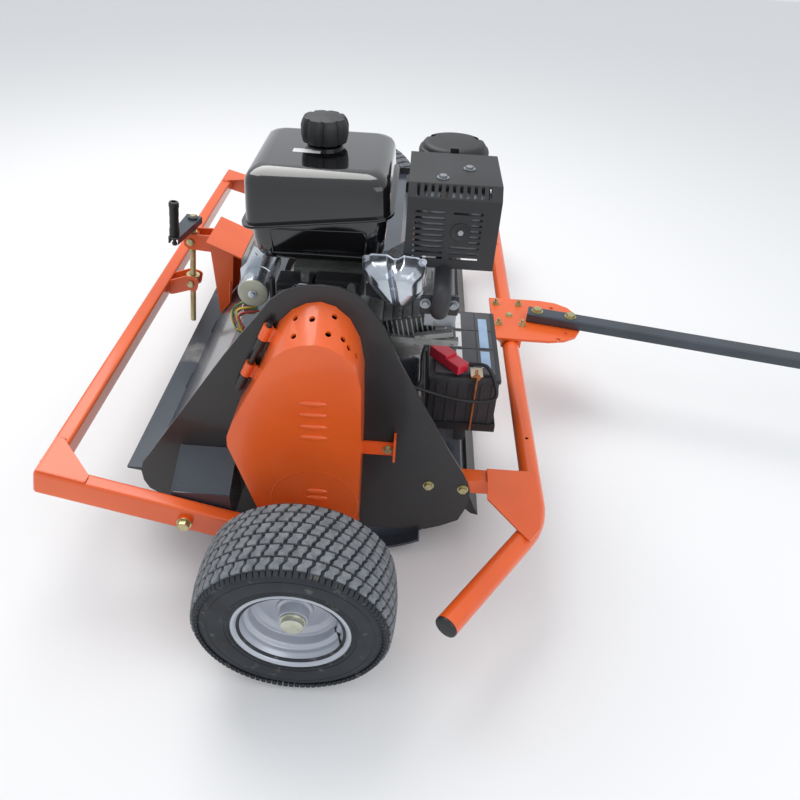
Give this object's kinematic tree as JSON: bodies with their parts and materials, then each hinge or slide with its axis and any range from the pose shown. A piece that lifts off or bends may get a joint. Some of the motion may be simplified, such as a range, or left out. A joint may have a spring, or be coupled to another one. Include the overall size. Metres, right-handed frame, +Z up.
{
  "type": "towed brush mower",
  "caption": "Towed flail brush mower: orange wheel frame with a crank lift, black flail deck, belt-driven petrol engine, battery, and an offset drawbar.",
  "frame": {"origin": "on the ground, under the middle of the overall length and width", "axes": "+X forward towards the tow coupler, +Y to the mower's left, +Z up"},
  "size_m": [2.4042, 2.288, 0.966],
  "materials": {
    "orange_paint": "gloss orange powder coat",
    "black_paint": "satin black powder coat",
    "deck_paint": "gloss dark blue-grey powder coat, worn at the edges",
    "slate_paint": "satin slate-grey paint",
    "rim_silver": "silver wheel paint",
    "tyre_rubber": "turf tread rubber",
    "yellow_zinc": "yellow zinc plate",
    "rotor_steel": "plain steel, oiled",
    "cast_alloy": "as-cast aluminium, painted grey",
    "silver_alloy": "heat-proof silver coating",
    "zinc_sheet": "bright zinc-plated sheet",
    "tank_black": "high-gloss black",
    "black_plastic": "satin black moulding",
    "battery_case": "dark case with a grey lid",
    "red_plastic": "soft gloss red",
    "copper_rod": "copper-coated steel",
    "black_rubber": "satin black rubber"
  },
  "bodies": {
    "deck": {"deck_shell": "deck_paint", "side_plate_right": "black_paint", "side_plate_left": "black_paint", "skid_right": "deck_paint", "skid_left": "deck_paint", "pivot_bracket_right": "deck_paint", "pivot_bracket_left": "deck_paint", "rear_deflector": "deck_paint", "front_flap": "black_paint", "drive_belt": "black_rubber", "guard_hinge_rod": "black_paint", "front_tube": "orange_paint", "tube_cap_right": "black_plastic", "tube_cap_left": "black_plastic", "link_bar_right": "orange_paint", "link_bar_left": "orange_paint", "lift_mast": "orange_paint", "engine_block": "cast_alloy", "recoil_cover": "black_plastic", "recoil_handle": "black_plastic", "fuel_tank": "tank_black", "muffler_guard": "black_paint", "muffler": "silver_alloy", "air_cleaner": "black_plastic", "starter_motor": "silver_alloy", "cylinder_shroud": "zinc_sheet", "battery": "battery_case", "battery_tray": "black_paint", "hold_down_rod": "copper_rod", "terminal_cover": "red_plastic", "battery_lead_red_side": "black_rubber", "battery_lead_ground": "black_rubber"},
    "wheel_frame": {"side_bar_right": "orange_paint", "side_bar_left": "orange_paint", "rear_crossbar": "orange_paint", "axle_bolt_right": "yellow_zinc", "axle_bolt_left": "yellow_zinc", "pivot_bolt_right": "yellow_zinc", "pivot_bolt_left": "yellow_zinc"},
    "wheel_right": {"wheel_rim_right": "rim_silver", "tyre_right": "tyre_rubber"},
    "wheel_left": {"wheel_rim_left": "rim_silver", "tyre_left": "tyre_rubber"},
    "swivel": {"screw_swivel": "orange_paint"},
    "crank": {"lift_screw": "yellow_zinc", "crank_arm": "slate_paint"},
    "knob": {"crank_knob": "black_plastic"},
    "nut": {"screw_nut": "yellow_zinc"},
    "guard": {"belt_guard": "orange_paint"},
    "rotor": {"rotor": "rotor_steel", "driven_pulley": "rotor_steel"},
    "engine_pulley": {"drive_pulley": "rotor_steel"},
    "tank_cap": {"fuel_cap": "black_plastic"},
    "hitch": {"hitch_plate": "orange_paint", "clamp_bolt_right": "yellow_zinc", "clamp_bolt_left": "yellow_zinc", "drawbar_pivot_bolt": "yellow_zinc", "drawbar": "slate_paint", "drawbar_lock_bolt": "yellow_zinc", "coupler": "black_paint"}
  },
  "joints": [
    {"name": "frame_lift", "type": "hinge", "parent": "deck", "child": "wheel_frame", "pos_m": [-0.87525, 0, 0.214], "axis": [0, 1, 0], "range_deg": [0, 8]},
    {"name": "wheel_right_spin", "type": "hinge", "parent": "wheel_frame", "child": "wheel_right", "pos_m": [-0.60025, -1.059, 0.203], "axis": [0, 1, 0], "continuous": true},
    {"name": "wheel_left_spin", "type": "hinge", "parent": "wheel_frame", "child": "wheel_left", "pos_m": [-0.60025, 1.059, 0.203], "axis": [0, 1, 0], "continuous": true},
    {"name": "swivel_swing", "type": "hinge", "parent": "deck", "child": "swivel", "pos_m": [-1.06925, 0, 0.455], "axis": [0, 1, 0], "range_deg": [-6.1, 0]},
    {"name": "crank_turn", "type": "hinge", "parent": "swivel", "child": "crank", "pos_m": [-1.06925, 0, 0.455], "axis": [0.1276, 0, 0.9918], "range_deg": [0, 1800]},
    {"name": "knob_spin", "type": "hinge", "parent": "crank", "child": "knob", "pos_m": [-1.07137, -0.12486, 0.57122], "axis": [0.1276, 0, 0.9918], "continuous": true},
    {"name": "nut_swing", "type": "hinge", "parent": "wheel_frame", "child": "nut", "pos_m": [-1.08725, 0, 0.315], "axis": [0, 1, 0], "range_deg": [-14.1, 0]},
    {"name": "guard_lift", "type": "slide", "parent": "deck", "child": "guard", "axis": [0.4242, 0, 0.9056], "range_m": [0, 0.034]},
    {"name": "rotor_spin", "type": "hinge", "parent": "deck", "child": "rotor", "pos_m": [-0.59525, 0, 0.235], "axis": [0, 1, 0], "continuous": true},
    {"name": "pulley_spin", "type": "hinge", "parent": "deck", "child": "engine_pulley", "pos_m": [-0.59025, -0.792, 0.556], "axis": [0, 1, 0], "continuous": true},
    {"name": "cap_turn", "type": "hinge", "parent": "deck", "child": "tank_cap", "pos_m": [-0.61025, -0.452, 0.92], "axis": [0, 0, 1], "range_deg": [0, 90]},
    {"name": "hitch_slide", "type": "slide", "parent": "deck", "child": "hitch", "axis": [0, 1, 0], "range_m": [-0.5, 0.5]}
  ],
  "couplings": [
    {"joint": "frame_lift", "follows": "crank_turn", "ratio": 0.0044444},
    {"joint": "swivel_swing", "follows": "crank_turn", "ratio": -0.0033378},
    {"joint": "nut_swing", "follows": "crank_turn", "ratio": -0.0077822},
    {"joint": "pulley_spin", "follows": "rotor_spin", "ratio": 1.5}
  ]
}
